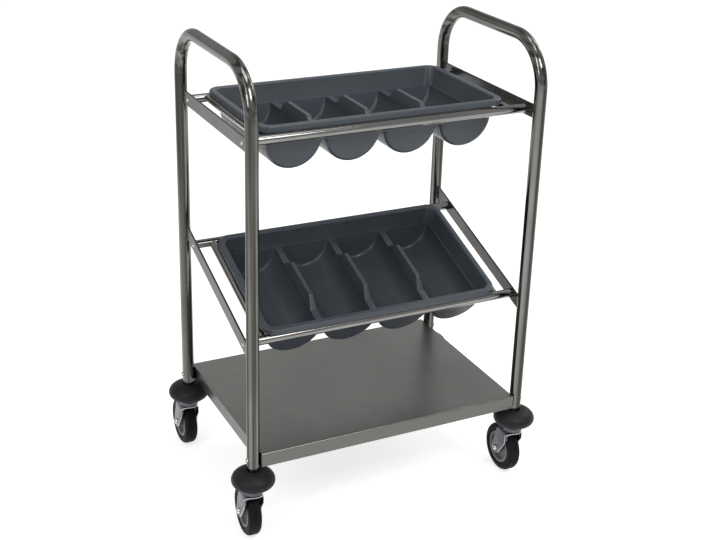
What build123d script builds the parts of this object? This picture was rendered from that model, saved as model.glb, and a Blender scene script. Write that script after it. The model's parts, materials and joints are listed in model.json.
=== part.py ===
from build123d import *
from math import asin, atan2, cos, pi, radians, sin, sqrt
import os

# Cutlery cart: two bent tube ends, two racks for lift-out cutlery trays, a bottom shelf
# and four swivel casters. X runs from the left end to the right end, Y from front to back
# and Z up from the floor. All sizes are in millimetres and all angles in degrees.

# End frames: the legs of each end stand a little way out from the ends of the trays
leg_to_tray_end = 40.0
leg_depth = 380.0
tube_diameter = 25.0
tube_wall = 1.5
handle_height = 794.5
handle_bend_radius = 95.0
side_bar_height = 28.0
side_bar_thickness = 4.0
side_bar_edge_round = 1.4

# Racks: heights are measured from the leg bottoms to the middle of the side bars
upper_rack_height = 655.7
upper_rack_tilt = 0.0
upper_rack_shift = 0.0
lower_rack_height = 304.6
lower_rack_tilt = 19.5
lower_rack_shift = -7.0
rail_diameter = 18.0
rod_diameter = 16.0
rail_wall = 1.2
plug_length = 20.0
plug_clearance = 0.05
screw_diameter = 5.0
screw_hole_clearance = 0.25
screw_thread_clearance = 0.05
screw_head_diameter = 9.5
screw_head_height = 2.8
screw_length = 18.0
socket_depth = 1.4

# Shelf: a folded sheet pan between the legs
shelf_lift = 10.2
shelf_skirt = 28.7
shelf_sheet = 1.2
shelf_bend_radius = 2.6
shelf_end_gap = 0.1
shelf_bolt_height = 25.0
shelf_bolt_diameter = 6.0
shelf_bolt_head_diameter = 10.5
shelf_bolt_head_height = 3.3
shelf_bolt_hole_clearance = 0.3
shelf_nut_width = 10.0
shelf_nut_thickness = 5.0
shelf_bolt_overrun = 2.0

# Cutlery trays
tray_length = 520.0
tray_width = 292.0
tray_wall = 2.5
tray_seat_gap = 0.3
skirt_height = 11.4
rim_width = 13.5
rim_flare = 1.5
rim_corner_radius = 28.0
rim_edge_round = 3.5
rim_foot_round = 1.2
rim_mouth_round = 3.5
well_depth = 38.7
well_draft = 6.0
well_corner_radius = 18.5
trough_count = 4
trough_pitch = 122.0
trough_radius = 54.0
trough_side_height = 1.6
trough_half_length = 124.5
trough_end_lean = 11.0
trough_end_round = 8.0
divider_rise = 21.5
divider_top_width = 8.0
divider_top_half_length = 50.0
divider_ramp_length = 22.0
divider_bend_radius = 8.0

# Where the trays stand in their racks: off the middle, to the right and up the slope.
# The lower tray has slid down until its wall nearly meets the front rail.
upper_tray_side_shift = -4.0
upper_tray_slope_shift = 4.5
lower_tray_side_shift = 0.0
lower_tray_slope_shift = -4.5

# Casters, stacked from the floor up to the leg bottoms
wheel_radius = 52.0
tyre_width = 27.5
tyre_shoulder_round = 8.0
wheel_centre_radius = 35.0
wheel_rim_depth = 6.0
wheel_rim_width = 25.0
wheel_web_thickness = 9.0
hub_radius = 11.0
hub_width = 33.0
bush_radius = 6.0
bush_end_gap = 0.05
running_clearance = 0.08
axle_diameter = 8.0
axle_head_diameter = 13.0
axle_head_height = 5.0
axle_nut_width = 13.0
axle_nut_thickness = 6.5
axle_overrun = 1.5
caster_trail = 32.0
crown_clearance = 4.5
fork_sheet = 2.5
fork_inner_width = 36.0
fork_corner_radius = 11.5
fork_front_reach = 20.5
fork_back_reach = 29.0
fork_apron_height = 5.0
fork_boss_radius = 12.5
race_radius = 13.0
race_width = 8.0
race_height = 1.0
ball_diameter = 6.0
ball_count = 12
ball_gap = 0.15
cup_radius = 20.0
cup_wall = 2.2
cup_skirt_gap = 0.8
stem_diameter = 12.0
stem_foot_radius = 8.5
stem_foot_thickness = 2.5
stem_foot_gap = 0.5
stem_tip_gap = 3.0
bumper_radius = 43.5
bumper_neck_radius = 17.0
bumper_neck_height = 9.0
bumper_neck_flare = 2.5
bumper_lip_radius = 11.5
bumper_dome_height = 20.5
bumper_dome_width = 30.0
bumper_bore_clearance = 0.1
insert_length = 39.0
insert_clearance = 0.05

# The way each caster trails, turned from the X axis towards the back
trail_angles = {"front_left": 87.0, "back_left": 90.0, "front_right": 89.5, "back_right": 88.0}

# Places that follow from the sizes above
tube_radius = tube_diameter / 2
rail_radius = rail_diameter / 2
rod_radius = rod_diameter / 2
half_spacing = tray_length / 2 + leg_to_tray_end
half_depth = leg_depth / 2
bar_inner_face = half_spacing - side_bar_thickness / 2
bar_outer_face = half_spacing + side_bar_thickness / 2
crown_underside = 2 * wheel_radius + crown_clearance
crown_top = crown_underside + fork_sheet
race_top = crown_top + race_height
cup_ceiling = race_top + ball_diameter + 2 * ball_gap
cup_top = cup_ceiling + cup_wall
bumper_lip = cup_top + bumper_neck_height
bumper_middle = bumper_lip + bumper_lip_radius
leg_bottom = bumper_middle + bumper_dome_height
stem_top = leg_bottom + shelf_bolt_height - shelf_bolt_diameter / 2 - stem_tip_gap
fork_half_width = fork_inner_width / 2 + fork_sheet
rim_top = rail_radius + tray_seat_gap + skirt_height
ledge_level = rim_top - well_depth
trough_axis_level = ledge_level - trough_side_height

legs = {
    "front_left": (-half_spacing, -half_depth),
    "back_left": (-half_spacing, half_depth),
    "front_right": (half_spacing, -half_depth),
    "back_right": (half_spacing, half_depth),
}
sides = {"left": -1, "right": 1}
racks = {
    "upper": (upper_rack_height, upper_rack_tilt, upper_rack_shift),
    "lower": (lower_rack_height, lower_rack_tilt, lower_rack_shift),
}
tray_shifts = {
    "upper": (upper_tray_side_shift, upper_tray_slope_shift),
    "lower": (lower_tray_side_shift, lower_tray_slope_shift),
}
pieces = {}


def rod_along(axis, radius, start, end):
    """A round bar along X or Y, from one place on that axis to the other."""
    turn = {"X": Rot(0, 90, 0), "Y": Rot(-90, 0, 0)}[axis]
    middle = (start + end) / 2
    place = {"X": Pos(middle, 0, 0), "Y": Pos(0, middle, 0)}[axis]
    return place * turn * Cylinder(radius, abs(end - start))


def turned(points):
    """A solid of revolution about Z from a closed outline of (radius, height) points."""
    return revolve(Plane.XZ * make_face(Polyline(*points, close=True)), Axis.Z)


def hex_prism(width, height):
    """A nut blank standing on the XY plane, measured across its flats."""
    return extrude(RegularPolygon(width / 2, 6, major_radius=False), height)


def domed_head(diameter, height, socket_width):
    """A button head standing on the XY plane, with a hexagon socket in its top."""
    radius = diameter / 2
    ball_radius = (radius**2 + height**2) / (2 * height)
    ball = Pos(0, 0, height - ball_radius) * Sphere(ball_radius)
    head = ball & Pos(0, 0, height / 2) * Cylinder(radius, height)
    socket = Pos(0, 0, height - socket_depth) * hex_prism(socket_width, socket_depth)
    return head - socket


def leg_solid(x, y, radius):
    """The space of a leg, as a plain round bar that other pieces are cut to."""
    height = handle_height
    return Pos(x, y, leg_bottom + height / 2) * Cylinder(radius, height)


def rack_place(height, tilt):
    """The middle of a rack: X along its rails, Y up its slope, Z square to its trays."""
    return Pos(0, 0, leg_bottom + height) * Rot(tilt, 0, 0)


def make_end_tube(x):
    """Two legs and a handle, bent from one tube, with holes for the shelf bolts."""
    top = leg_bottom + handle_height
    foot = (x, -half_depth, leg_bottom)
    corners = [foot, (x, -half_depth, top), (x, half_depth, top), (x, half_depth, leg_bottom)]
    path = FilletPolyline(*corners, radius=handle_bend_radius)
    ring = Circle(tube_radius) - Circle(tube_radius - tube_wall)
    tube = sweep(Plane(origin=foot, z_dir=(0, 0, 1)) * ring, path)
    hole_radius = shelf_bolt_diameter / 2 + shelf_bolt_hole_clearance
    for y in (-half_depth, half_depth):
        hole = rod_along("X", hole_radius, x - tube_diameter, x + tube_diameter)
        tube -= Pos(0, y, leg_bottom + shelf_bolt_height) * hole
    return tube


def make_side_bar(x, height, tilt, shift):
    """A flat bar between the two legs of one end, cut to their round sides."""
    length = leg_depth / cos(radians(tilt))
    bar = Box(side_bar_thickness, length, side_bar_height)
    bar = fillet(bar.edges().filter_by(Axis.Y), side_bar_edge_round)
    hole_radius = screw_diameter / 2 + screw_hole_clearance
    for y in rail_lines(shift):
        bar -= Pos(0, y, 0) * rod_along("X", hole_radius, -side_bar_thickness, side_bar_thickness)
    bar = Pos(x, 0, 0) * rack_place(height, tilt) * bar
    for y in (-half_depth, half_depth):
        bar -= leg_solid(x, y, tube_radius)
    return bar


def rail_lines(shift):
    """Where the front and the back rail of a rack lie along its slope."""
    return (shift - tray_width / 2, shift + tray_width / 2)


def make_rail():
    """A rack rail: a polished tube that ends on the side bars, with room for its plugs."""
    outer = rod_along("X", rail_radius, -bar_inner_face, bar_inner_face)
    return outer - rod_along("X", rail_radius - rail_wall, -bar_inner_face, bar_inner_face)


def make_rod(x, shift):
    """A tube under one end of a tray, cut to the round sides of the two rails."""
    front, back = rail_lines(shift)
    rod = rod_along("Y", rod_radius, front, back) - rod_along("Y", rod_radius - rail_wall, front, back)
    rod = Pos(x, 0, 0) * rod
    for y in (front, back):
        rod -= Pos(0, y, 0) * rod_along("X", rail_radius, -bar_inner_face, bar_inner_face)
    return rod


def make_rail_plug():
    """A threaded plug for the right end of a rail, flush with the side bar's inner face."""
    start = bar_inner_face - plug_length
    plug_radius = rail_radius - rail_wall - plug_clearance
    thread_radius = screw_diameter / 2 + screw_thread_clearance
    plug = rod_along("X", plug_radius, start, bar_inner_face)
    return plug - rod_along("X", thread_radius, start, bar_inner_face)


def make_rail_screw():
    """A button head screw through the right side bar into a rail's plug."""
    shank = rod_along("X", screw_diameter / 2, bar_outer_face - screw_length, bar_outer_face)
    head = domed_head(screw_head_diameter, screw_head_height, screw_diameter / 2)
    return shank + Pos(bar_outer_face, 0, 0) * Rot(0, 90, 0) * head


def make_shelf():
    """The folded pan: a flat top and four skirts, with holes for its bolts."""
    length = 2 * (half_spacing - tube_radius - shelf_end_gap)
    width = leg_depth + tube_diameter
    bottom = leg_bottom + shelf_lift
    top = bottom + shelf_skirt
    shell = extrude(Pos(0, 0, bottom) * RectangleRounded(length, width, shelf_bend_radius), shelf_skirt)
    shell = fillet(shell.edges().group_by(Axis.Z)[-1], shelf_bend_radius)
    inner_radius = shelf_bend_radius - shelf_sheet
    inner = RectangleRounded(length - 2 * shelf_sheet, width - 2 * shelf_sheet, inner_radius)
    hollow = extrude(Pos(0, 0, bottom) * inner, shelf_skirt - shelf_sheet)
    hollow = fillet(hollow.edges().group_by(Axis.Z)[-1], inner_radius)
    shelf = shell - hollow
    hole_radius = shelf_bolt_diameter / 2 + shelf_bolt_hole_clearance
    for y in (-half_depth, half_depth):
        hole = rod_along("X", hole_radius, -half_spacing, half_spacing)
        shelf -= Pos(0, y, leg_bottom + shelf_bolt_height) * hole
    return shelf


def shelf_inner_face():
    """Where the inner side of the shelf's right skirt lies along X."""
    return half_spacing - tube_radius - shelf_end_gap - shelf_sheet


def make_shelf_bolt():
    """A bolt through the right leg and the shelf's skirt, with its head outside."""
    outer = half_spacing + tube_radius
    inner = shelf_inner_face() - shelf_nut_thickness - shelf_bolt_overrun
    shank = rod_along("X", shelf_bolt_diameter / 2, inner, outer)
    head = domed_head(shelf_bolt_head_diameter, shelf_bolt_head_height, shelf_bolt_diameter / 2)
    return shank + Pos(outer, 0, 0) * Rot(0, 90, 0) * head


def make_shelf_nut():
    """The nut on the inner side of the shelf's right skirt."""
    nut = hex_prism(shelf_nut_width, shelf_nut_thickness)
    nut -= Pos(0, 0, shelf_nut_thickness / 2) * Cylinder(
        shelf_bolt_diameter / 2 + screw_thread_clearance, shelf_nut_thickness
    )
    return Pos(shelf_inner_face() - shelf_nut_thickness, 0, 0) * Rot(0, 90, 0) * nut


def make_trough(radius, half_length, end_round):
    """One half round trough along Y, whose flat ends lean in towards its bottom."""
    bottom = trough_axis_level - radius
    top = ledge_level + 2 * end_round
    foot = half_length - trough_end_lean
    spread = foot + trough_end_lean * (top - bottom) / (ledge_level - bottom)
    section = Pos(0, trough_axis_level) * Circle(radius)
    section += Pos(0, (trough_axis_level + top) / 2) * Rectangle(2 * radius, top - trough_axis_level)
    trough = extrude(Plane.XZ * section, spread, both=True)
    lean = make_face(Polyline((-spread, top), (spread, top), (foot, bottom), (-foot, bottom), close=True))
    trough &= extrude(Plane.YZ * lean, radius, both=True)
    ends = [face for face in trough.faces().filter_by(GeomType.PLANE) if abs(face.normal_at().Y) > 0.5]
    lower_edges = [edge for face in ends for edge in face.edges().sort_by(Axis.Z)[:-1]]
    trough = fillet(lower_edges, end_round)
    return split(trough, Plane.XY.offset(ledge_level), keep=Keep.BOTTOM)


def make_divider_hump(top_width, base_width, top_half_length, base_half_length, base, top):
    """The raised middle of a divider: narrow on top, with a ramp at each end."""
    section = [(-base_width / 2, base), (base_width / 2, base), (top_width / 2, top), (-top_width / 2, top)]
    hump = extrude(Plane.XZ * make_face(Polyline(*section, close=True)), base_half_length, both=True)
    side = make_face(
        Polyline(
            (-base_half_length, base),
            (base_half_length, base),
            (top_half_length, top),
            (-top_half_length, top),
            close=True,
        )
    )
    side = fillet(side.vertices().group_by(Axis.Y)[-1], divider_bend_radius)
    return hump & extrude(Plane.YZ * side, base_width, both=True)


def tray_outline(inset, corner_radius, level):
    """The tray's outline at one level, set in from its edge all round."""
    length, width = tray_length - 2 * inset, tray_width - 2 * inset
    return Pos(0, 0, level) * RectangleRounded(length, width, corner_radius)


def make_rim_block(inset, bottom, top):
    """A block as the rim's skirt flares: wider at its bottom than at its top."""
    radius = rim_corner_radius - inset
    wide = tray_outline(inset, radius, bottom)
    return loft([wide, tray_outline(inset + rim_flare, radius - rim_flare, top)])


def make_well(grow, top, bottom):
    """The space of the well, or with growth the outside of its walls."""
    radius = well_corner_radius + grow
    foot = tray_outline(rim_width + well_draft - grow, radius, bottom)
    return loft([foot, tray_outline(rim_width - grow, radius, top)])


def make_tray():
    """A cutlery tray with a turned-down rim, four troughs and raised dividers."""
    skirt_bottom = rim_top - skirt_height
    floor_bottom = ledge_level - tray_wall

    rim = make_rim_block(0, skirt_bottom, rim_top)
    rim = fillet(rim.edges().group_by(Axis.Z)[-1], rim_edge_round)
    rim = fillet(rim.edges().group_by(Axis.Z)[0], rim_foot_round)
    rim -= make_rim_block(tray_wall, skirt_bottom, rim_top - tray_wall)

    outer = rim + make_well(tray_wall, rim_top, floor_bottom)
    outer -= make_well(0, rim_top, ledge_level)
    mouth = outer.faces().sort_by(Axis.Z)[-1].inner_wires()[0]
    outer = fillet(mouth.edges(), rim_mouth_round)

    places = [trough_pitch * (i - (trough_count - 1) / 2) for i in range(trough_count)]
    inner_trough = make_trough(trough_radius, trough_half_length, trough_end_round)
    outer_trough = make_trough(
        trough_radius + tray_wall, trough_half_length + tray_wall, trough_end_round + tray_wall
    )
    tray = outer
    for x in places:
        tray += Pos(x, 0, 0) * outer_trough
    for x in places:
        tray -= Pos(x, 0, 0) * inner_trough

    land = trough_pitch - 2 * trough_radius
    ramp_end = divider_top_half_length + divider_ramp_length
    hump = make_divider_hump(
        divider_top_width, land, divider_top_half_length, ramp_end, ledge_level, ledge_level + divider_rise
    )
    hollow = make_divider_hump(
        divider_top_width - 2 * tray_wall,
        land - 2 * tray_wall,
        divider_top_half_length - tray_wall / 2,
        ramp_end - tray_wall / 2,
        floor_bottom,
        ledge_level + divider_rise - tray_wall,
    )
    for left, right in zip(places, places[1:]):
        middle = Pos((left + right) / 2, 0, 0)
        tray += middle * hump
        tray -= middle * hollow
    return tray


def make_bumper():
    """The soft disc between a leg and its caster: a neck, a round edge and a low dome."""
    bore = stem_diameter / 2 + bumper_bore_clearance
    lip_start = bumper_radius - bumper_lip_radius
    dome_top = bumper_radius - bumper_dome_width
    turn = sqrt(0.5)
    outline = [
        Polyline(
            (dome_top, leg_bottom),
            (bore, leg_bottom),
            (bore, cup_top),
            (bumper_neck_radius, cup_top),
            (bumper_neck_radius, bumper_lip - bumper_neck_flare),
            (lip_start, bumper_lip),
        ),
        ThreePointArc(
            (lip_start, bumper_lip),
            (lip_start + bumper_lip_radius * turn, bumper_middle - bumper_lip_radius * turn),
            (bumper_radius, bumper_middle),
        ),
        ThreePointArc(
            (bumper_radius, bumper_middle),
            (dome_top + bumper_dome_width * turn, bumper_middle + bumper_dome_height * turn),
            (dome_top, leg_bottom),
        ),
    ]
    return revolve(Plane.XZ * make_face(outline), Axis.Z)


def make_bearing_cup():
    """The fixed cup over the ball race of a caster's swivel."""
    bore = stem_diameter / 2 + running_clearance
    skirt_bottom = crown_top + cup_skirt_gap
    return turned(
        [
            (bore, cup_ceiling),
            (cup_radius - cup_wall, cup_ceiling),
            (cup_radius - cup_wall, skirt_bottom),
            (cup_radius, skirt_bottom),
            (cup_radius, cup_top),
            (bore, cup_top),
        ]
    )


def make_stem():
    """The caster's stem: a foot under the fork's crown and a thread up into the leg's insert."""
    foot_top = crown_underside - stem_foot_gap
    foot_bottom = foot_top - stem_foot_thickness
    shank_radius = stem_diameter / 2
    return turned(
        [
            (0, foot_bottom),
            (stem_foot_radius, foot_bottom),
            (stem_foot_radius, foot_top),
            (shank_radius, foot_top),
            (shank_radius, stem_top),
            (0, stem_top),
        ]
    )


def make_leg_insert():
    """The threaded plug in a leg's foot, held by the shelf bolt that passes through it."""
    radius = tube_radius - tube_wall - insert_clearance
    insert = Pos(0, 0, leg_bottom + insert_length / 2) * Cylinder(radius, insert_length)
    thread_depth = stem_top + stem_tip_gap / 2 - leg_bottom
    thread_radius = stem_diameter / 2 + screw_thread_clearance
    insert -= Pos(0, 0, leg_bottom + thread_depth / 2) * Cylinder(thread_radius, thread_depth)
    bolt_radius = shelf_bolt_diameter / 2 + shelf_bolt_hole_clearance
    return insert - Pos(0, 0, leg_bottom + shelf_bolt_height) * rod_along("X", bolt_radius, -radius, radius)


def make_balls():
    """The ring of balls between a fork's race and its cup."""
    ball = Pos(race_radius, 0, race_top + ball_gap + ball_diameter / 2) * Sphere(ball_diameter / 2)
    return [Rot(0, 0, 360 * i / ball_count) * ball for i in range(ball_count)]


def tangent_point(point, centre, radius, side):
    """Where the line from a point just touches a circle, on the chosen side."""
    away_x, away_y = point[0] - centre[0], point[1] - centre[1]
    distance = sqrt(away_x**2 + away_y**2)
    direction = atan2(away_y, away_x) + side * (pi / 2 - asin(radius / distance))
    return (centre[0] + radius * cos(direction), centre[1] + radius * sin(direction))


def make_fork():
    """A pressed fork: an arched crown with a race on top and two legs to the axle."""
    foot = wheel_radius - fork_boss_radius
    outer_radius = fork_corner_radius + fork_sheet

    def arch(half_width, top, corner):
        shape = Pos(0, (top + foot) / 2) * Rectangle(2 * half_width, top - foot)
        return fillet(shape.vertices().group_by(Axis.Y)[-1], corner)

    section = arch(fork_half_width, crown_top, outer_radius)
    section -= arch(fork_inner_width / 2, crown_underside, fork_corner_radius)
    reach = caster_trail + fork_boss_radius + fork_front_reach
    channel = extrude(Plane.YZ * section, reach, both=True)

    axle = (caster_trail, wheel_radius)
    apron = crown_top - fork_apron_height
    front = tangent_point((-fork_front_reach, apron), axle, fork_boss_radius, 1)
    back = tangent_point((fork_back_reach, apron), axle, fork_boss_radius, -1)
    outline = make_face(
        Polyline(
            (-fork_front_reach, crown_top),
            (-fork_front_reach, apron),
            front,
            axle,
            back,
            (fork_back_reach, apron),
            (fork_back_reach, crown_top),
            close=True,
        )
    )
    outline += Pos(*axle) * Circle(fork_boss_radius)
    plan = Circle(fork_half_width) + Pos(reach / 2, 0) * Rectangle(reach, 2 * fork_half_width)
    fork = channel & extrude(Plane.XZ * outline, fork_half_width, both=True) & extrude(plan, crown_top)

    race = Pos(0, 0, crown_top + race_height / 2) * Cylinder(race_radius + race_width / 2, race_height)
    race -= Pos(0, 0, crown_top + race_height / 2) * Cylinder(race_radius - race_width / 2, race_height)
    fork += race
    stem_bore = stem_diameter / 2 + running_clearance
    fork -= Pos(0, 0, crown_top) * Cylinder(stem_bore, 4 * fork_sheet)
    axle_bore = axle_diameter / 2 + running_clearance
    fork -= Pos(caster_trail, 0, wheel_radius) * rod_along("Y", axle_bore, -tyre_width, tyre_width)
    return fork


def on_axle(shape):
    """Moves a shape made along Y at the origin to a caster's axle."""
    return Pos(caster_trail, 0, wheel_radius) * shape


def make_axle_bolt():
    """The axle, with a domed head outside the fork's left leg."""
    end = -fork_half_width - axle_nut_thickness - axle_overrun
    shank = rod_along("Y", axle_diameter / 2, end, fork_half_width)
    head = domed_head(axle_head_diameter, axle_head_height, axle_diameter / 2)
    return on_axle(shank + Pos(0, fork_half_width, 0) * Rot(-90, 0, 0) * head)


def make_axle_nut():
    """The nut outside the fork's right leg."""
    thread_radius = axle_diameter / 2 + screw_thread_clearance
    nut = hex_prism(axle_nut_width, axle_nut_thickness)
    nut -= Pos(0, 0, axle_nut_thickness / 2) * Cylinder(thread_radius, axle_nut_thickness)
    return on_axle(Pos(0, -fork_half_width, 0) * Rot(90, 0, 0) * nut)


def make_bush():
    """The steel tube that the axle clamps between the fork's legs."""
    half_length = fork_inner_width / 2 - bush_end_gap
    bush = rod_along("Y", bush_radius, -half_length, half_length)
    bore = axle_diameter / 2 + running_clearance
    return on_axle(bush - rod_along("Y", bore, -half_length, half_length))


def wheel_turned(points):
    """A solid of revolution about a caster's axle, from (radius, side) points."""
    face = Plane.XY * make_face(Polyline(*points, close=True))
    return on_axle(revolve(face, Axis.Y))


def make_wheel_centre():
    """The moulded wheel: hub, web and rim, running on the bush."""
    bore = bush_radius + running_clearance
    rim_inside = wheel_centre_radius - wheel_rim_depth
    half = [
        (bore, hub_width / 2),
        (hub_radius, hub_width / 2),
        (hub_radius, wheel_web_thickness / 2),
        (rim_inside, wheel_web_thickness / 2),
        (rim_inside, wheel_rim_width / 2),
        (wheel_centre_radius, wheel_rim_width / 2),
    ]
    return wheel_turned(half + [(radius, -side) for radius, side in reversed(half)])


def make_tyre():
    """The rubber tyre, with rounded shoulders."""
    section = Pos((wheel_centre_radius + wheel_radius) / 2, 0) * Rectangle(
        wheel_radius - wheel_centre_radius, tyre_width
    )
    section = fillet(section.vertices().group_by(Axis.X)[-1], tyre_shoulder_round)
    return on_axle(revolve(section, Axis.Y))


def both_ends(shape):
    """A fastener made for the right end of the cart, and its mirror for the left end."""
    return [shape, mirror(shape, Plane.YZ)]


# End frames
for side, sign in sides.items():
    pieces[f"{side}_end_tube"] = [make_end_tube(sign * half_spacing)]

# Racks, with their trays
plugs = []
screws = []
for level, (height, tilt, shift) in racks.items():
    place = rack_place(height, tilt)
    for side, sign in sides.items():
        pieces[f"{level}_{side}_side_bar"] = [make_side_bar(sign * half_spacing, height, tilt, shift)]
        rod_line = sign * tray_length / 2
        pieces[f"{level}_{side}_rod"] = [place * make_rod(rod_line, shift)]
    for end, y in zip(("front", "back"), rail_lines(shift)):
        line = place * Pos(0, y, 0)
        pieces[f"{level}_{end}_rail"] = [line * make_rail()]
        plugs += [line * plug for plug in both_ends(make_rail_plug())]
        screws += [line * screw for screw in both_ends(make_rail_screw())]
    along, up_slope = tray_shifts[level]
    pieces[f"{level}_cutlery_tray"] = [place * Pos(along, shift + up_slope, 0) * make_tray()]
pieces["rail_end_plugs"] = plugs
pieces["rail_screws"] = screws

# Shelf
pieces["bottom_shelf"] = [make_shelf()]
bolt_lines = [Pos(0, y, leg_bottom + shelf_bolt_height) for y in (-half_depth, half_depth)]
pieces["shelf_bolts"] = [line * bolt for line in bolt_lines for bolt in both_ends(make_shelf_bolt())]
pieces["shelf_nuts"] = [line * nut for line in bolt_lines for nut in both_ends(make_shelf_nut())]

# Casters
stems = []
inserts = []
balls = []
for corner, (x, y) in legs.items():
    fixed = Pos(x, y, 0)
    swivel = fixed * Rot(0, 0, trail_angles[corner])
    stems.append(fixed * make_stem())
    inserts.append(fixed * make_leg_insert())
    balls += [fixed * ball for ball in make_balls()]
    pieces[f"{corner}_bumper"] = [fixed * make_bumper()]
    pieces[f"{corner}_bearing_cup"] = [fixed * make_bearing_cup()]
    pieces[f"{corner}_fork"] = [swivel * make_fork()]
    pieces[f"{corner}_axle_bolt"] = [swivel * make_axle_bolt()]
    pieces[f"{corner}_axle_nut"] = [swivel * make_axle_nut()]
    pieces[f"{corner}_wheel_bush"] = [swivel * make_bush()]
    pieces[f"{corner}_wheel_centre"] = [swivel * make_wheel_centre()]
    pieces[f"{corner}_tyre"] = [swivel * make_tyre()]
pieces["caster_stems"] = stems
pieces["leg_inserts"] = inserts
pieces["swivel_balls"] = balls

# The origin is on the floor, under the middle of the space that the whole cart fills
reach = Compound(children=[shape for group in pieces.values() for shape in group]).bounding_box()
centring = Pos(-(reach.min.X + reach.max.X) / 2, -(reach.min.Y + reach.max.Y) / 2, 0)

os.makedirs("parts", exist_ok=True)
for name, group in pieces.items():
    placed = [centring * solid for shape in group for solid in shape.solids()]
    export_step(placed[0] if len(placed) == 1 else Compound(children=placed), f"parts/{name}.step")
print("cart", reach.size, "moved by", centring.position)
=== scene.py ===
import json
from math import asin, atan2, cos, pi, radians, sin, sqrt

import bmesh
import bpy
from mathutils import Matrix, Vector


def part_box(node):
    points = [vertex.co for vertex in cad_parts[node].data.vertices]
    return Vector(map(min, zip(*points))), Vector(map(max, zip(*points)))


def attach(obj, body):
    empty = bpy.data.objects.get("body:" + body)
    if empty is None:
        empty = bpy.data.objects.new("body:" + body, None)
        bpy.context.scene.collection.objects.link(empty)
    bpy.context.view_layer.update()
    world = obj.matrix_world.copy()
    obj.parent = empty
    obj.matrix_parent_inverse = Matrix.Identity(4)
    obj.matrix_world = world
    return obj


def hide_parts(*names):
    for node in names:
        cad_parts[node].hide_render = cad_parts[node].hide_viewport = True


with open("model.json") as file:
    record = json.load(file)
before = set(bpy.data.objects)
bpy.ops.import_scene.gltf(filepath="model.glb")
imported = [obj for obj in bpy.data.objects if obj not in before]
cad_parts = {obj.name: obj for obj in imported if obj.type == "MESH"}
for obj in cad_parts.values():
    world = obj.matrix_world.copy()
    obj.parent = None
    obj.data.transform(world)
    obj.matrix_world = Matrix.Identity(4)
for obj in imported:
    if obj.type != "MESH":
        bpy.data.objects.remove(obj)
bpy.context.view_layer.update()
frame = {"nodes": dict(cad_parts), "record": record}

CORNERS = ("front_left", "back_left", "front_right", "back_right")
RACKS = ("upper", "lower")
SIDES = ("left", "right")


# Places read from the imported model

def middle(node):
    """The middle of a node's box."""
    low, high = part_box(node)
    return (Vector(low) + Vector(high)) / 2


def joint_named(name):
    """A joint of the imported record."""
    return next(j for j in frame["record"]["behaviour"]["joints"] if j["name"] == name)


leg_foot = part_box("left_end_tube")[0][2]
cart_middle = middle("left_end_tube").y


class Rack:
    """A rack's own axes: along its rails, up its slope and square to its tray."""

    def __init__(self, level):
        front = middle(f"{level}_front_rail")
        back = middle(f"{level}_back_rail")
        self.centre = (front + back) / 2
        self.along = Vector((1, 0, 0))
        self.slope = (back - front).normalized()
        self.square = self.along.cross(self.slope)

    def place(self, along, slope, square):
        """The point at these distances from the rack's centre."""
        return self.centre + along * self.along + slope * self.slope + square * self.square

    def local(self, point):
        """A point's distances from the rack's centre, along its own axes."""
        away = Vector(point) - self.centre
        return Vector((away.dot(self.along), away.dot(self.slope), away.dot(self.square)))


class Caster:
    """A caster's own axes: the way it trails, across its wheel, and up."""

    def __init__(self, corner):
        swivel = Vector(joint_named(f"{corner}_swivel_turn")["pos_m"])
        self.axle = Vector(joint_named(f"{corner}_wheel_spin")["pos_m"])
        trail = self.axle - swivel
        trail.z = 0
        self.trail = trail.length
        self.back = trail.normalized()
        self.across = Vector((-self.back.y, self.back.x, 0))
        self.foot = Vector((swivel.x, swivel.y, 0))

    def place(self, back, across, height):
        """The point this far behind the stem, across the wheel and above the floor."""
        return self.foot + back * self.back + across * self.across + Vector((0, 0, height))


racks = {level: Rack(level) for level in RACKS}
casters = {corner: Caster(corner) for corner in CORNERS}


# Camera, as the photograph was taken

PHOTO_WIDTH, PHOTO_HEIGHT = 716, 540
FOCAL_PIXELS = 1271.02
VIEW_MIDDLE = (346.51, 231.92)
FILM_WIDTH = 36.0
CAMERA_FROM_CART = Vector((-1.08400, -2.16160, 1.36452))
CAMERA_RIGHT = Vector((0.90073178, -0.43371418, 0.02396388))
CAMERA_DOWN = Vector((-0.14337044, -0.34892047, -0.92612063))
CAMERA_FORWARD = Vector((0.41003314, 0.83075057, -0.37646555))


def set_camera():
    """The camera, from its fitted focal length, middle, place and directions."""
    data = bpy.data.cameras.new("photo_camera")
    camera = bpy.data.objects.new("photo_camera", data)
    bpy.context.scene.collection.objects.link(camera)
    data.sensor_width = FILM_WIDTH
    data.lens = FOCAL_PIXELS / PHOTO_WIDTH * FILM_WIDTH
    data.shift_x = (PHOTO_WIDTH / 2 - VIEW_MIDDLE[0]) / PHOTO_WIDTH
    data.shift_y = (VIEW_MIDDLE[1] - PHOTO_HEIGHT / 2) / PHOTO_WIDTH
    data.clip_start, data.clip_end = 0.05, 200
    turn = Matrix((CAMERA_RIGHT, -CAMERA_DOWN, -CAMERA_FORWARD)).transposed()
    camera.rotation_mode = "QUATERNION"
    camera.rotation_quaternion = turn.to_quaternion()
    camera.location = CAMERA_FROM_CART + Vector((0, cart_middle, leg_foot))
    bpy.context.scene.camera = camera


# Shader node groups

def new_group(name, inputs, outputs):
    """An empty shader group with its named sockets and plain default values."""
    group = bpy.data.node_groups.new(name, "ShaderNodeTree")
    for label, kind, value in inputs:
        socket = group.interface.new_socket(label, in_out="INPUT", socket_type=kind)
        if value is not None:
            socket.default_value = value
    for label, kind in outputs:
        group.interface.new_socket(label, in_out="OUTPUT", socket_type=kind)
    return group, group.nodes.new("NodeGroupInput"), group.nodes.new("NodeGroupOutput")


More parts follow.
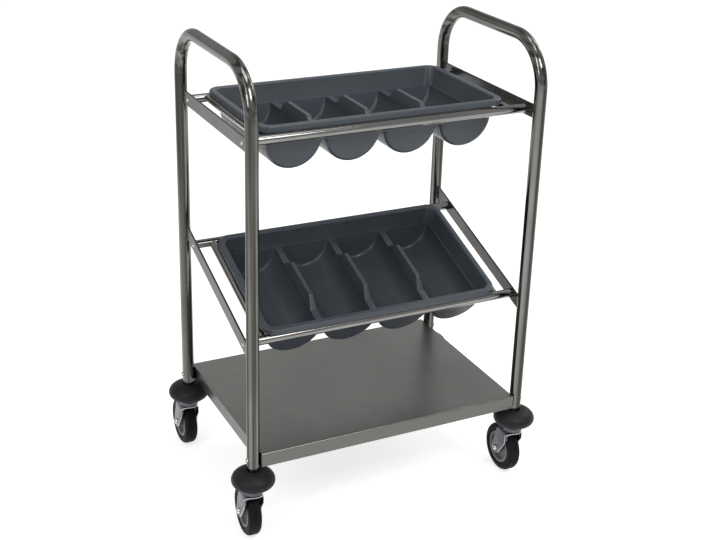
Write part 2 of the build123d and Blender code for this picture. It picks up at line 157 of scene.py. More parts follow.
def node(tree, kind, settings=None, **values):
    """Adds a node, sets its own settings, and sets or links its inputs.

    An input is given by its name, with _ for a space, or by its number after a _.
    """
    made = tree.nodes.new(kind)
    for key, value in (settings or {}).items():
        setattr(made, key, value)
    for key, value in values.items():
        key = int(key[1:]) if key[0] == "_" else key.replace("_", " ")
        put(tree, made.inputs[key], value)
    return made


def put(tree, socket, value):
    """Links an output to a socket, or sets the socket's own value."""
    if isinstance(value, bpy.types.NodeSocket):
        tree.links.new(value, socket)
    else:
        socket.default_value = value


def band(tree, value, low, high, to_low=0.0, to_high=1.0):
    """Maps one range of a value to another, and keeps it inside."""
    made = node(tree, "ShaderNodeMapRange", {"clamp": True})
    put(tree, made.inputs["Value"], value)
    for label, number in (("From Min", low), ("From Max", high), ("To Min", to_low), ("To Max", to_high)):
        put(tree, made.inputs[label], number)
    return made.outputs["Result"]


def blend_colour(tree, share, first, second):
    """Mixes two colours."""
    made = node(tree, "ShaderNodeMix", {"data_type": "RGBA"})
    put(tree, made.inputs[0], share)
    put(tree, made.inputs[6], first)
    put(tree, made.inputs[7], second)
    return made.outputs[2]


def make_drawn_grain():
    """Fine lines along one direction, as drawing, rolling or brushing leaves them."""
    group, given, result = new_group(
        "drawn_grain",
        [("Place", "NodeSocketVector", None), ("Lines", "NodeSocketVector", (300, 300, 300)),
         ("Depth", "NodeSocketFloat", 0.1)],
        [("Mask", "NodeSocketFloat"), ("Normal", "NodeSocketVector")],
    )
    scaled = node(group, "ShaderNodeVectorMath", {"operation": "MULTIPLY"})
    put(group, scaled.inputs[0], given.outputs["Place"])
    put(group, scaled.inputs[1], given.outputs["Lines"])
    noise = node(group, "ShaderNodeTexNoise", Scale=1.0, Detail=3.0, Roughness=0.6)
    put(group, noise.inputs["Vector"], scaled.outputs[0])
    mask = band(group, noise.outputs["Fac"], 0.3, 0.7)
    bump = node(group, "ShaderNodeBump", Distance=0.0002)
    put(group, bump.inputs["Strength"], given.outputs["Depth"])
    put(group, bump.inputs["Height"], mask)
    put(group, result.inputs["Mask"], mask)
    put(group, result.inputs["Normal"], bump.outputs["Normal"])
    return group


FINE_TO_BROAD = 9.0


def make_soft_clouds():
    """Broad, soft patches, for handling marks and uneven polish."""
    group, given, result = new_group(
        "soft_clouds",
        [("Place", "NodeSocketVector", None), ("Size", "NodeSocketFloat", 8.0)],
        [("Mask", "NodeSocketFloat"), ("Fine Mask", "NodeSocketFloat")],
    )
    broad = node(group, "ShaderNodeTexNoise", Detail=4.0, Roughness=0.5)
    fine = node(group, "ShaderNodeTexNoise", Detail=5.0, Roughness=0.65)
    finer = node(group, "ShaderNodeMath", {"operation": "MULTIPLY"}, _1=FINE_TO_BROAD)
    put(group, finer.inputs[0], given.outputs["Size"])
    for noise, size in ((broad, given.outputs["Size"]), (fine, finer.outputs[0])):
        put(group, noise.inputs["Vector"], given.outputs["Place"])
        put(group, noise.inputs["Scale"], size)
    put(group, result.inputs["Mask"], band(group, broad.outputs["Fac"], 0.35, 0.65))
    put(group, result.inputs["Fine Mask"], band(group, fine.outputs["Fac"], 0.35, 0.7))
    return group


def make_moulded_skin():
    """The fine pebbled skin of moulded plastic and rubber."""
    group, given, result = new_group(
        "moulded_skin",
        [("Place", "NodeSocketVector", None), ("Grain", "NodeSocketFloat", 900.0),
         ("Depth", "NodeSocketFloat", 0.2)],
        [("Mask", "NodeSocketFloat"), ("Normal", "NodeSocketVector")],
    )
    cells = node(group, "ShaderNodeTexVoronoi", {"feature": "SMOOTH_F1"})
    put(group, cells.inputs["Vector"], given.outputs["Place"])
    put(group, cells.inputs["Scale"], given.outputs["Grain"])
    bump = node(group, "ShaderNodeBump", Distance=0.0003)
    put(group, bump.inputs["Strength"], given.outputs["Depth"])
    put(group, bump.inputs["Height"], cells.outputs["Distance"])
    put(group, result.inputs["Mask"], band(group, cells.outputs["Distance"], 0.1, 0.8))
    put(group, result.inputs["Normal"], bump.outputs["Normal"])
    return group


SCUFF_STRETCHES = ((14, 420, 200), (260, 18, 240))


def make_light_scuffs():
    """Thin pale scratches in two directions, as cutlery leaves on plastic and boxes on steel."""
    group, given, result = new_group(
        "light_scuffs",
        [("Place", "NodeSocketVector", None), ("Amount", "NodeSocketFloat", 0.3)],
        [("Mask", "NodeSocketFloat")],
    )
    layers = []
    for stretch in SCUFF_STRETCHES:
        scaled = node(group, "ShaderNodeVectorMath", {"operation": "MULTIPLY"}, _1=stretch)
        put(group, scaled.inputs[0], given.outputs["Place"])
        noise = node(group, "ShaderNodeTexNoise", Scale=1.0, Detail=2.0, Distortion=0.6)
        put(group, noise.inputs["Vector"], scaled.outputs[0])
        layers.append(band(group, noise.outputs["Fac"], 0.66, 0.74))
    patches = node(group, "ShaderNodeTexNoise", Scale=12.0, Detail=2.0)
    put(group, patches.inputs["Vector"], given.outputs["Place"])
    where = band(group, patches.outputs["Fac"], 0.5, 0.7)
    both = node(group, "ShaderNodeMath", {"operation": "MAXIMUM"}, _0=layers[0], _1=layers[1])
    spread = node(group, "ShaderNodeMath", {"operation": "MULTIPLY"}, _0=both.outputs[0], _1=where)
    held = node(group, "ShaderNodeMath", {"operation": "MULTIPLY"}, _0=spread.outputs[0])
    put(group, held.inputs[1], given.outputs["Amount"])
    put(group, result.inputs["Mask"], held.outputs[0])
    return group


UPRIGHT_STREAKS, LEVEL_STREAKS = (105, 105, 0.7), (105, 0.7, 105)
BEND_START, BEND_END = 0.86, 0.93


def make_painted_reflection_streaks():
    """Painted reflection streaks along a tube, dark bands that stand in for reflections of dark surroundings:
    upright on the legs, level on the handle.
    """
    group, given, result = new_group(
        "painted_reflection_streaks",
        [("Place", "NodeSocketVector", None), ("Bend Start", "NodeSocketFloat", BEND_START),
         ("Bend End", "NodeSocketFloat", BEND_END)],
        [("Mask", "NodeSocketFloat")],
    )
    ways = []
    for stretch in (UPRIGHT_STREAKS, LEVEL_STREAKS):
        scaled = node(group, "ShaderNodeVectorMath", {"operation": "MULTIPLY"}, _1=stretch)
        put(group, scaled.inputs[0], given.outputs["Place"])
        noise = node(group, "ShaderNodeTexNoise", Scale=1.0, Detail=1.5, Roughness=0.45)
        put(group, noise.inputs["Vector"], scaled.outputs[0])
        ways.append(band(group, noise.outputs["Fac"], 0.40, 0.58))
    height = node(group, "ShaderNodeSeparateXYZ")
    put(group, height.inputs[0], given.outputs["Place"])
    bent = node(group, "ShaderNodeMapRange", {"clamp": True}, Value=height.outputs["Z"])
    put(group, bent.inputs["From Min"], given.outputs["Bend Start"])
    put(group, bent.inputs["From Max"], given.outputs["Bend End"])
    chosen = node(group, "ShaderNodeMix", {"data_type": "FLOAT"})
    put(group, chosen.inputs[0], bent.outputs["Result"])
    put(group, chosen.inputs[2], ways[0])
    put(group, chosen.inputs[3], ways[1])
    put(group, result.inputs["Mask"], chosen.outputs[0])
    return group


def make_upright_faces():
    """Shows which faces stand upright, such as a shelf's folded edges, where painted shade goes."""
    group, given, result = new_group("upright_faces", [("Normal", "NodeSocketVector", None)],
                                     [("Mask", "NodeSocketFloat")])
    parts = node(group, "ShaderNodeSeparateXYZ")
    put(group, parts.inputs[0], given.outputs["Normal"])
    level = node(group, "ShaderNodeMath", {"operation": "ABSOLUTE"}, _0=parts.outputs["Z"])
    put(group, result.inputs["Mask"], band(group, level.outputs[0], 0.35, 0.75, 1.0, 0.0))
    return group


drawn_grain = make_drawn_grain()
painted_reflection_streaks = make_painted_reflection_streaks()
upright_faces = make_upright_faces()
soft_clouds = make_soft_clouds()
moulded_skin = make_moulded_skin()
light_scuffs = make_light_scuffs()


# Materials

def new_material(name, **sockets):
    """A Principled material with its plain values on its own sockets."""
    material = bpy.data.materials.new(name)
    material.use_nodes = True
    tree = material.node_tree
    tree.nodes.clear()
    output = tree.nodes.new("ShaderNodeOutputMaterial")
    shader = tree.nodes.new("ShaderNodeBsdfPrincipled")
    tree.links.new(shader.outputs[0], output.inputs[0])
    for label, value in sockets.items():
        shader.inputs[label.replace("_", " ")].default_value = value
    place = tree.nodes.new("ShaderNodeTexCoord").outputs["Object"]
    return material, tree, shader, place


def use(tree, group, **values):
    """Places one of the groups above in a material."""
    made = tree.nodes.new("ShaderNodeGroup")
    made.node_tree = group
    for key, value in values.items():
        put(tree, made.inputs[key.replace("_", " ")], value)
    return made


GRAIN_IN_COLOUR = 0.12


def steel(name, colour, dull_colour, roughness, lines, depth, cloud_size=9.0, reflection_streak_colour=None,
          upright_shade_colour=None):
    """Stainless or plated steel: drawn lines, uneven polish and faint handling marks; where given, dark
    painted reflection streaks and painted shade on upright faces.
    """
    material, tree, shader, place = new_material(name, Metallic=1.0)
    grain = use(tree, drawn_grain, Place=place, Lines=lines, Depth=depth)
    clouds = use(tree, soft_clouds, Place=place, Size=cloud_size)
    worn = blend_colour(tree, clouds.outputs["Mask"], (*colour, 1), (*dull_colour, 1))
    # Dark streaks mixed into the colour: a painted reflection of dark surroundings along the tubes.
    if reflection_streak_colour:
        streaks = use(tree, painted_reflection_streaks, Place=place)
        worn = blend_colour(tree, streaks.outputs["Mask"], (*reflection_streak_colour, 1), worn)
    if upright_shade_colour:
        # Upright faces, such as the shelf's folded edges, take a darker colour: painted shade.
        upright_shade = use(tree, upright_faces, Normal=tree.nodes.new("ShaderNodeNewGeometry").outputs["Normal"])
        worn = blend_colour(tree, upright_shade.outputs["Mask"], worn, (*upright_shade_colour, 1))
    shade = node(tree, "ShaderNodeMix", {"data_type": "RGBA", "blend_type": "MULTIPLY"})
    shade.inputs[0].default_value = GRAIN_IN_COLOUR
    put(tree, shade.inputs[6], worn)
    put(tree, shade.inputs[7], grain.outputs["Mask"])
    put(tree, shader.inputs["Base Color"], shade.outputs[2])
    low, high = roughness
    spread = node(tree, "ShaderNodeMath", {"operation": "ADD"})
    put(tree, spread.inputs[0], band(tree, clouds.outputs["Fine Mask"], 0, 1, low, (low + high) / 2))
    put(tree, spread.inputs[1], band(tree, grain.outputs["Mask"], 0, 1, 0, (high - low) / 2))
    put(tree, shader.inputs["Roughness"], spread.outputs[0])
    put(tree, shader.inputs["Normal"], grain.outputs["Normal"])
    return material


MOST_FADING, SCUFF_BRIGHTER = 0.35, 2.2


def moulded(name, colour, pale_colour, roughness, grain_size, depth, scuffs=0.0, specular=0.5):
    """Moulded plastic or rubber: a pebbled skin, slight fading and scuffs where it is used."""
    material, tree, shader, place = new_material(name, Specular_IOR_Level=specular)
    skin = use(tree, moulded_skin, Place=place, Grain=grain_size, Depth=depth)
    clouds = use(tree, soft_clouds, Place=place, Size=7.0)
    marks = use(tree, light_scuffs, Place=place, Amount=scuffs)
    fading = band(tree, clouds.outputs["Mask"], 0, 1, 0, MOST_FADING)
    faded = blend_colour(tree, fading, (*colour, 1), (*pale_colour, 1))
    scuff_colour = (*[min(1, SCUFF_BRIGHTER * c) for c in pale_colour], 1)
    scuffed = blend_colour(tree, marks.outputs["Mask"], faded, scuff_colour)
    put(tree, shader.inputs["Base Color"], scuffed)
    low, high = roughness
    put(tree, shader.inputs["Roughness"], band(tree, clouds.outputs["Fine Mask"], 0, 1, low, high))
    put(tree, shader.inputs["Normal"], skin.outputs["Normal"])
    return material


# Grain lines to the metre along X, Y and Z: few the way the piece was drawn, many across it
ALONG_X, ALONG_Y, ALONG_Z, ALL_WAYS = (8, 700, 700), (700, 8, 700), (700, 700, 8), (400, 400, 400)

# Each steel: its colour, its duller patches, its roughness from low to high, and its grain
materials = {
    # frame_steel's streak colour paints dark reflection streaks on the legs and handle.
    "frame_steel": steel("frame_steel", (0.22, 0.217, 0.205), (0.17, 0.166, 0.155), (0.08, 0.18), ALONG_Z,
                         depth=0.015, reflection_streak_colour=(0.055, 0.052, 0.045)),
    "bar_steel": steel("bar_steel", (0.105, 0.103, 0.098), (0.075, 0.073, 0.07), (0.20, 0.32), ALONG_Y,
                       depth=0.03),
    "rail_steel": steel("rail_steel", (0.27, 0.267, 0.26), (0.22, 0.217, 0.21), (0.08, 0.15), ALONG_X,
                        depth=0.01),
    "rod_steel": steel("rod_steel", (0.34, 0.335, 0.325), (0.27, 0.267, 0.26), (0.10, 0.20), ALONG_Y,
                       depth=0.01),
    # shelf_steel's upright folded edges take a darker colour: painted shade.
    "shelf_steel": steel("shelf_steel", (0.30, 0.296, 0.283), (0.25, 0.246, 0.235), (0.26, 0.38), ALONG_X,
                         depth=0.04, cloud_size=4.0, upright_shade_colour=(0.15, 0.148, 0.14)),
    "screw_steel": steel("screw_steel", (0.62, 0.61, 0.59), (0.5, 0.49, 0.475), (0.10, 0.20), ALL_WAYS,
                         depth=0.02),
    "caster_steel": steel("caster_steel", (0.12, 0.125, 0.136), (0.088, 0.093, 0.101), (0.20, 0.36), ALL_WAYS,
                          depth=0.08, cloud_size=30.0),
    # lip_steel is much paler than caster_steel: on the fork's lip it paints a highlight; the axle bolts and
    # nuts also take it.
    "lip_steel": steel("lip_steel", (0.66, 0.67, 0.69), (0.54, 0.55, 0.57), (0.10, 0.18), ALL_WAYS,
                       depth=0.02),
    "ball_steel": steel("ball_steel", (0.62, 0.62, 0.63), (0.56, 0.56, 0.57), (0.08, 0.14), ALL_WAYS,
                        depth=0.02),
}

# Each plastic and rubber: its colour, its faded patches, its roughness from low to high, and its skin
materials |= {
    "tray_plastic": moulded("tray_plastic", (0.047, 0.056, 0.067), (0.072, 0.084, 0.098), (0.28, 0.44),
                            grain_size=1400, depth=0.06, scuffs=0.25, specular=0.40),
    "insert_plastic": moulded("insert_plastic", (0.02, 0.02, 0.02), (0.03, 0.03, 0.03), (0.5, 0.7),
                              grain_size=1000, depth=0.15),
    "wheel_plastic": moulded("wheel_plastic", (0.15, 0.152, 0.158), (0.19, 0.193, 0.2), (0.38, 0.55),
                             grain_size=1100, depth=0.15),
    "bumper_rubber": moulded("bumper_rubber", (0.010, 0.010, 0.012), (0.018, 0.018, 0.021), (0.42, 0.60),
                             grain_size=900, depth=0.2, specular=0.22),
    "tyre_rubber": moulded("tyre_rubber", (0.006, 0.006, 0.007), (0.012, 0.012, 0.013), (0.5, 0.7),
                           grain_size=800, depth=0.25, specular=0.12),
}


# Meshes

def smooth_by_angle(mesh, angle=35):
    """Shades a mesh smooth, except across edges sharper than the angle, in degrees."""
    mesh.shade_smooth()
    mesh.set_sharp_from_angle(angle=radians(angle))


def split_large_faces(mesh):
    """Cuts faces with many corners into triangles, so that holes in them stay open."""
    shape = bmesh.new()
    shape.from_mesh(mesh)
    bmesh.ops.triangulate(shape, faces=[face for face in shape.faces if len(face.verts) > 4])
    shape.to_mesh(mesh)
    shape.free()


def new_piece(name, mesh, body, material):
    """Links a finished mesh, gives it its material and lets it ride on its body."""
    piece = bpy.data.objects.new(name, mesh)
    bpy.context.scene.collection.objects.link(piece)
    mesh.materials.clear()
    mesh.materials.append(materials[material])
    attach(piece, body)
    return piece


def body_holding(node_name):
    """The body that a node belongs to."""
    bodies = frame["record"]["behaviour"]["bodies"]
    return next(body for body, nodes in bodies.items() if node_name in nodes)


def slot_of(node_name):
    """The record's material slot of a node."""
    return next(s["material_slot"] for s in frame["record"]["subparts"] if s["node"] == node_name)


SAME_POINT, FLAT_ANGLE = 2e-6, 0.2


def eased_copy(node_name, width, segments=2, sharp_angle=28, weigh=None, material=None):
    """The node's own shape with its sharp edges eased, in place of the node."""
    mesh = frame["nodes"][node_name].data.copy()
    shape = bmesh.new()
    shape.from_mesh(mesh)
    bmesh.ops.remove_doubles(shape, verts=shape.verts, dist=SAME_POINT)
    bmesh.ops.dissolve_limit(shape, angle_limit=radians(FLAT_ANGLE), verts=shape.verts, edges=shape.edges)
    layers = shape.edges.layers.float
    weights = layers.get("bevel_weight_edge") or layers.new("bevel_weight_edge")
    for edge in shape.edges:
        if len(edge.link_faces) == 2 and edge.calc_face_angle(0) > radians(sharp_angle):
            edge[weights] = weigh(edge) if weigh else 1.0
    shape.to_mesh(mesh)
    shape.free()
    piece = bpy.data.objects.new(f"eased_{node_name}", mesh)
    bpy.context.scene.collection.objects.link(piece)
    ease = piece.modifiers.new("ease", "BEVEL")
    ease.limit_method = "WEIGHT"
    ease.width = width
    ease.segments = segments
    ease.use_clamp_overlap = True
    evaluated = piece.evaluated_get(bpy.context.evaluated_depsgraph_get())
    finished = bpy.data.meshes.new_from_object(evaluated)
    bpy.data.objects.remove(piece)
    split_large_faces(finished)
    smooth_by_angle(finished, 40)
    slot = slot_of(node_name)
    piece = new_piece(f"eased_{node_name}", finished, body_holding(node_name), material or slot)
    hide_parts(node_name)
    return piece


def turned_mesh(name, outline, centre, axis, segments=96):
    """A closed ring-shaped solid: outline points are (radius, height along the axis)."""
    axis = Vector(axis).normalized()
    side = axis.orthogonal().normalized()
    other = axis.cross(side)
    points = []
    for step in range(segments):
        turn = 2 * pi * step / segments
        out = side * cos(turn) + other * sin(turn)
        points += [Vector(centre) + out * r + axis * h for r, h in outline]
    count = len(outline)
    faces = []
    for step in range(segments):
        here, there = step * count, (step + 1) % segments * count
        for i in range(count):
            after = (i + 1) % count
            faces.append((here + i, here + after, there + after, there + i))
    mesh = bpy.data.meshes.new(name)
    mesh.from_pydata(points, [], faces)
    shape = bmesh.new()
    shape.from_mesh(mesh)
    bmesh.ops.recalc_face_normals(shape, faces=shape.faces)
    shape.to_mesh(mesh)
    shape.free()
    smooth_by_angle(mesh)
    return mesh


def arc(centre, radius, start, end, steps):
    """Outline points on an arc, angles in degrees."""
    angles = [radians(start + (end - start) * i / steps) for i in range(steps + 1)]
    return [(centre[0] + radius * cos(a), centre[1] + radius * sin(a)) for a in angles]


# Geometry Nodes

def make_bead_tree():
    """A bead laid along a path: a weld run with its ripples, or a rolled lip with none."""
    tree = bpy.data.node_groups.new("bead_along_path", "GeometryNodeTree")
    face = tree.interface
    face.new_socket("Path", in_out="INPUT", socket_type="NodeSocketGeometry")
    for label, value in (("Radius", 0.001), ("Ripple Depth", 0.0), ("Ripple Pitch", 0.002), ("Step", 0.0007)):
        face.new_socket(label, in_out="INPUT", socket_type="NodeSocketFloat").default_value = value
    face.new_socket("Finish", in_out="INPUT", socket_type="NodeSocketMaterial")
    face.new_socket("Bead", in_out="OUTPUT", socket_type="NodeSocketGeometry")
    given, result = tree.nodes.new("NodeGroupInput"), tree.nodes.new("NodeGroupOutput")
    curve = node(tree, "GeometryNodeMeshToCurve", _0=given.outputs["Path"])
    even = node(tree, "GeometryNodeResampleCurve", {"mode": "LENGTH"}, Curve=curve.outputs[0],
                Length=given.outputs["Step"])
    travelled = tree.nodes.new("GeometryNodeSplineParameter").outputs["Length"]
    turns = node(tree, "ShaderNodeMath", {"operation": "DIVIDE"}, _0=travelled,
                 _1=given.outputs["Ripple Pitch"])
    angle = node(tree, "ShaderNodeMath", {"operation": "MULTIPLY"}, _0=turns.outputs[0], _1=2 * pi)
    wave = node(tree, "ShaderNodeMath", {"operation": "SINE"}, _0=angle.outputs[0])
    swell = node(tree, "ShaderNodeMath", {"operation": "MULTIPLY_ADD"}, _0=wave.outputs[0],
                 _1=given.outputs["Ripple Depth"], _2=given.outputs["Radius"])
    ring = node(tree, "GeometryNodeCurvePrimitiveCircle", Resolution=10, Radius=1.0)
    bead = node(tree, "GeometryNodeCurveToMesh", Curve=even.outputs[0], Profile_Curve=ring.outputs[0],
                Scale=swell.outputs[0], Fill_Caps=True)
    real = node(tree, "GeometryNodeRealizeInstances", Geometry=bead.outputs[0])
    dressed = node(tree, "GeometryNodeSetMaterial", Geometry=real.outputs[0],
                   Material=given.outputs["Finish"])
    put(tree, result.inputs[0], dressed.outputs[0])
    return tree


bead_along_path = make_bead_tree()


def grown(name, tree, paths, body, slot, material, closed=False, **sizes):
    """Runs a tree on open or closed paths and keeps its result as one plain piece."""
    points, edges = [], []
    for path in paths:
        first = len(points)
        points += path
        edges += [(first + i, first + i + 1) for i in range(len(path) - 1)]
        if closed:
            edges.append((first + len(path) - 1, first))
    mesh = bpy.data.meshes.new(name)
    mesh.from_pydata(points, edges, [])
    base = bpy.data.objects.new(name, mesh)
    bpy.context.scene.collection.objects.link(base)
    modifier = base.modifiers.new(name, "NODES")
    modifier.node_group = tree
    wanted = {**{key.replace("_", " "): value for key, value in sizes.items()}, "Finish": materials[material]}
    for item in tree.interface.items_tree:
        if item.in_out == "INPUT" and item.name in wanted:
            modifier[item.identifier] = wanted[item.name]
    evaluated = base.evaluated_get(bpy.context.evaluated_depsgraph_get())
    finished = bpy.data.meshes.new_from_object(evaluated)
    bpy.data.objects.remove(base)
    smooth_by_angle(finished, 60)
    return new_piece(name, finished, body, material)


# Trays: their own shape with eased edges, wider round the mouths of the troughs

LEDGE_BELOW_RAILS, LEDGE_TOLERANCE = 0.018, 0.0004
FULL_EASE, SLIGHT_EASE = 1.0, 0.4


def mouth_weight(edge):
    """Full width round the mouths of the troughs, less on the tray's other edges."""
    heights = [racks["upper"].local(vertex.co).z for vertex in edge.verts]
    at_ledge = all(abs(height + LEDGE_BELOW_RAILS) < LEDGE_TOLERANCE for height in heights)
    return FULL_EASE if at_ledge else SLIGHT_EASE


def tray_axes(level):
    """The turn and place of a tray in its rack."""
    rack = racks[level]
    points = [rack.local(vertex.co) for vertex in frame["nodes"][f"{level}_cutlery_tray"].data.vertices]
    centre = [(min(p[i] for p in points) + max(p[i] for p in points)) / 2 for i in range(3)]
    turn = Matrix((rack.along, rack.slope, rack.square)).transposed().to_4x4()
    return Matrix.Translation(rack.place(*centre)) @ turn


TRAY_EASE, TRAY_SHARP_ANGLE = 0.0025, 25
upper_tray = eased_copy("upper_cutlery_tray", TRAY_EASE, segments=3, sharp_angle=TRAY_SHARP_ANGLE,
                        weigh=mouth_weight)
mesh = upper_tray.data.copy()
mesh.transform(tray_axes("lower") @ tray_axes("upper").inverted())
lower_tray = new_piece("eased_lower_cutlery_tray", mesh, "lower_tray", "tray_plastic")
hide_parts("lower_cutlery_tray")


# Casters

BUMPER_NECK, BUMPER_BORE, BUMPER_LIP = 0.017, 0.0061, 0.0115
DOME_HEIGHT, DOME_WIDTH, DOME_STEPS = 0.0205, 0.030, 25
FLARE_START, FLARE_END, FLARE_WIDTH = 0.0025, 0.0006, 0.002
MOULD_LINE = 0.0008


def bumper_outline(low, high, radius):
    """The soft disc: a neck, a rounded lip with its mould line, and a low dome."""
    waist = high - DOME_HEIGHT
    lip_start = waist - BUMPER_LIP
    outline = [(BUMPER_BORE, low), (BUMPER_NECK, low), (BUMPER_NECK, lip_start - FLARE_START)]
    outline.append((BUMPER_NECK + FLARE_WIDTH, lip_start - FLARE_END))
    outline += arc((radius - BUMPER_LIP, waist), BUMPER_LIP, -90, -8, 14)
    outline += [(radius, waist - MOULD_LINE), (radius, waist + MOULD_LINE)]
    for step in range(1, DOME_STEPS):
        turn = radians(90 * step / DOME_STEPS)
        outline.append((radius - DOME_WIDTH * (1 - cos(turn)), waist + DOME_HEIGHT * sin(turn)))
    outline += [(radius - DOME_WIDTH, high), (BUMPER_BORE, high)]
    return outline


TYRE_BORE, TYRE_WIDTH, SHOULDER_ROUND = 0.035, 0.0275, 0.008
BEAD_PROFILE = ((0.0, 0.0025), (0.0008, 0.0012), (0.003, 0.0012), (0.0045, 0.0))
TREAD_LINES, GROOVE_DEPTH, GROOVE_HALF_TOP, GROOVE_HALF_FOOT = (-0.0028, 0.0, 0.0028), 0.0005, 0.0006, 0.0002


def tyre_outline(inner, outer, width):
    """The tyre: rounded shoulders, a narrow bead at each side and three shallow tread lines."""
    half, ease = width / 2, SHOULDER_ROUND
    outline = [(inner + out, -half + inset) for out, inset in BEAD_PROFILE]
    outline += arc((outer - ease, -half + ease), ease, -90, 0, 10)
    for line in TREAD_LINES:
        outline += [(outer, line - GROOVE_HALF_TOP), (outer - GROOVE_DEPTH, line - GROOVE_HALF_FOOT)]
        outline += [(outer - GROOVE_DEPTH, line + GROOVE_HALF_FOOT), (outer, line + GROOVE_HALF_TOP)]
    outline += arc((outer - ease, half - ease), ease, 0, 90, 10)
    outline += [(inner + out, half - inset) for out, inset in reversed(BEAD_PROFILE)]
    return outline


# The fork's middle surface, where its pressed lip runs: half its width, its crown and its apron
PLATE_ACROSS, CROWN_HEIGHT, CROWN_BEND = 0.0190, 0.1098, 0.0128
BOSS_RADIUS, FRONT_REACH, APRON_HEIGHT = 0.0125, 0.0192, 0.1060
LIP_RADIUS, LIP_STEP, NOSE_STEPS = 0.0015, 0.0012, 20


def fork_front_edge(caster):
    """The front edge of a fork: up one leg, round the nose of the crown and down the other leg."""
    away = Vector((-FRONT_REACH - caster.trail, APRON_HEIGHT - caster.axle.z))
    direction = atan2(away.y, away.x) - asin(BOSS_RADIUS / away.length) + pi / 2
    foot = Vector((caster.trail + BOSS_RADIUS * cos(direction), caster.axle.z + BOSS_RADIUS * sin(direction)))
    nose_back = -sqrt(FRONT_REACH**2 - PLATE_ACROSS**2)
    share = (nose_back - foot.x) / (-FRONT_REACH - foot.x)
    bend = foot.y + share * (APRON_HEIGHT - foot.y)
    side = [(foot.x, PLATE_ACROSS, foot.y), (nose_back, PLATE_ACROSS, bend)]
    nose = []
    reach_angle = asin(PLATE_ACROSS / FRONT_REACH)
    for step in range(-NOSE_STEPS, NOSE_STEPS + 1):
        angle = reach_angle * step / NOSE_STEPS
        back, across = -FRONT_REACH * cos(angle), FRONT_REACH * sin(angle)
        into_bend = max(0.0, abs(across) - (PLATE_ACROSS - CROWN_BEND))
        drop = CROWN_BEND - sqrt(max(0.0, CROWN_BEND**2 - into_bend**2))
        nose.append((back, across, CROWN_HEIGHT - drop))
    points = [(b, -a, h) for b, a, h in side] + nose + side[::-1]
    return [caster.place(*point) for point in points]


CASTER_EASES = (("wheel_centre", 0.0010), ("fork", 0.0006), ("bearing_cup", 0.0010))
NUT_EASE = 0.0005
for corner in CORNERS:
    caster = casters[corner]
    low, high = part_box(f"{corner}_bumper")
    disc = middle(f"{corner}_bumper")
    outline = bumper_outline(low[2], high[2], (high[0] - low[0]) / 2)
    mesh = turned_mesh(f"{corner}_soft_bumper", outline, (disc.x, disc.y, 0), (0, 0, 1))
    piece = new_piece(f"{corner}_soft_bumper", mesh, "frame", "bumper_rubber")
    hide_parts(f"{corner}_bumper")

    low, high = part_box(f"{corner}_tyre")
    outline = tyre_outline(TYRE_BORE, (high[2] - low[2]) / 2, TYRE_WIDTH)
    mesh = turned_mesh(f"{corner}_rubber_tyre", outline, caster.axle, caster.across)
    piece = new_piece(f"{corner}_rubber_tyre", mesh, f"{corner}_wheel", "tyre_rubber")
    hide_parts(f"{corner}_tyre")

    for part, ease in CASTER_EASES:
        eased_copy(f"{corner}_{part}", ease)
    eased_copy(f"{corner}_axle_nut", NUT_EASE, material="lip_steel")

    lip_path = fork_front_edge(caster)
    # The fork's pressed lip takes lip_steel, far paler than the fork's own caster_steel: the bead shape is
    # real, the paler colour is a painted highlight along the front arch.
    grown(f"{corner}_fork_lip", bead_along_path, [lip_path], f"{corner}_swivel", "caster_steel", "lip_steel",
          Radius=LIP_RADIUS, Ripple_Depth=0.0, Step=LIP_STEP)


# Weld runs round the ends of the side bars

BAR_HEIGHT = 0.028
WELD_RADIUS, WELD_RIPPLE, WELD_PITCH = 0.0012, 0.0002, 0.0022


def bar_end_loop(side, level, end):
    """The line where a side bar meets a leg, on the leg's round face."""
    bar_low, bar_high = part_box(f"{level}_{side}_side_bar")
    leg_low, leg_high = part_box(f"{side}_end_tube")
    centre_x = (bar_low[0] + bar_high[0]) / 2
    half_thick = (bar_high[0] - bar_low[0]) / 2
    leg_x = (leg_low[0] + leg_high[0]) / 2
    leg_radius = (leg_high[0] - leg_low[0]) / 2
    slope = racks[level].slope
    leg_y = leg_low[1] + leg_radius if end < 0 else leg_high[1] - leg_radius
    reach = leg_y - end * leg_radius
    middle_z = racks[level].centre.z + (reach - racks[level].centre.y) * slope.z / slope.y
    half_tall = BAR_HEIGHT / 2 / slope.y
    loop = []
    for across, up in ((-1, -1), (1, -1), (1, 1), (-1, 1)):
        x = centre_x + across * half_thick
        y = leg_y - end * sqrt(leg_radius**2 - (x - leg_x)**2)
        loop.append(Vector((x, y, middle_z + up * half_tall)))
    return loop


for side in SIDES:
    for level in RACKS:
        loops = [bar_end_loop(side, level, end) for end in (-1, 1)]
        grown(f"{level}_{side}_bar_welds", bead_along_path, loops, "frame", "bar_steel", "bar_steel",
              closed=True, Radius=WELD_RADIUS, Ripple_Depth=WELD_RIPPLE, Ripple_Pitch=WELD_PITCH)


# Every CAD node that is kept gets its finish

for name, kept in frame["nodes"].items():
    finish = slot_of(name)
    if name.endswith("_rod"):
        finish = "rod_steel"
    if name.endswith("_axle_bolt"):
        finish = "lip_steel"
    kept.data.materials.clear()
    kept.data.materials.append(materials[finish])


# Floor, lights and surroundings

FLOOR_GLOW, FLOOR_REACH = 0.66, 80
WORLD_STRENGTH = 0.52


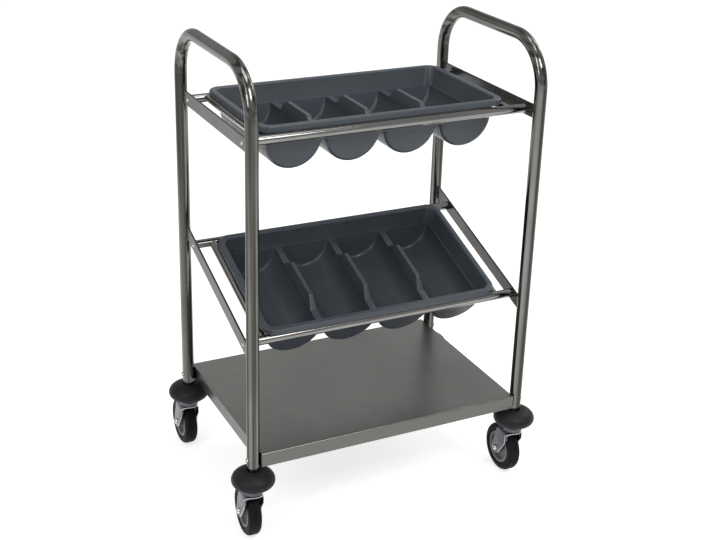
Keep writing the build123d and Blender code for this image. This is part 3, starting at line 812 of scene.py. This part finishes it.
def set_stage():
    """A pale paper floor that photographs nearly white and still keeps the cart's shadow."""
    mesh = bpy.data.meshes.new("floor")
    reach = FLOOR_REACH
    corners = [(-reach, -reach, 0), (reach, -reach, 0), (reach, reach, 0), (-reach, reach, 0)]
    mesh.from_pydata(corners, [], [(0, 1, 2, 3)])
    floor = bpy.data.objects.new("floor", mesh)
    bpy.context.scene.collection.objects.link(floor)
    material, tree, shader, place = new_material("floor_paper", Roughness=0.9, Specular_IOR_Level=0.0)
    clouds = use(tree, soft_clouds, Place=place, Size=0.6)
    tone = blend_colour(tree, clouds.outputs["Mask"], (0.68, 0.68, 0.68, 1), (0.66, 0.66, 0.66, 1))
    put(tree, shader.inputs["Base Color"], tone)
    seen = tree.nodes.new("ShaderNodeLightPath").outputs
    seen_or_mirrored = node(tree, "ShaderNodeMath", {"operation": "MAXIMUM"}, _0=seen["Is Camera Ray"],
                            _1=seen["Is Glossy Ray"])
    shown = node(tree, "ShaderNodeMath", {"operation": "MAXIMUM"}, _0=seen_or_mirrored.outputs[0],
                 _1=seen["Is Transmission Ray"])
    put(tree, shader.inputs["Emission Color"], (1, 1, 1, 1))
    put(tree, shader.inputs["Emission Strength"], band(tree, shown.outputs[0], 0, 1, 0, FLOOR_GLOW))
    mesh.materials.append(material)


CART_HEART = (0, 0, 0.5)


def area_light(name, place, target, size, power):
    """A soft box, sized in metres and lit in watts, turned to its target."""
    data = bpy.data.lights.new(name, "AREA")
    data.shape = "RECTANGLE"
    data.size, data.size_y = size
    data.energy = power
    lamp = bpy.data.objects.new(name, data)
    bpy.context.scene.collection.objects.link(lamp)
    lamp.location = place
    away = Vector(place) - Vector(target)
    lamp.rotation_mode = "QUATERNION"
    lamp.rotation_quaternion = away.to_track_quat("Z", "Y")


def set_lights():
    """Even light from the surroundings, and four soft boxes that give the steel its highlights."""
    world = bpy.data.worlds.new("studio")
    bpy.context.scene.world = world
    world.use_nodes = True
    sky = world.node_tree.nodes["Background"]
    sky.inputs["Color"].default_value = (1, 1, 1, 1)
    sky.inputs["Strength"].default_value = WORLD_STRENGTH
    area_light("soft_box_left", (-2.6, -1.6, 2.6), CART_HEART, (0.9, 2.2), 34)
    area_light("soft_box_front", (0.5, -2.5, 3.2), CART_HEART, (1.4, 1.2), 48)
    area_light("soft_box_right", (2.6, 0.6, 2.4), CART_HEART, (0.7, 1.8), 20)
    area_light("soft_box_above", (0.2, -0.3, 3.4), CART_HEART, (1.4, 1.4), 18)


set_stage()
set_lights()
set_camera()
bpy.context.scene.view_settings.view_transform = "Standard"
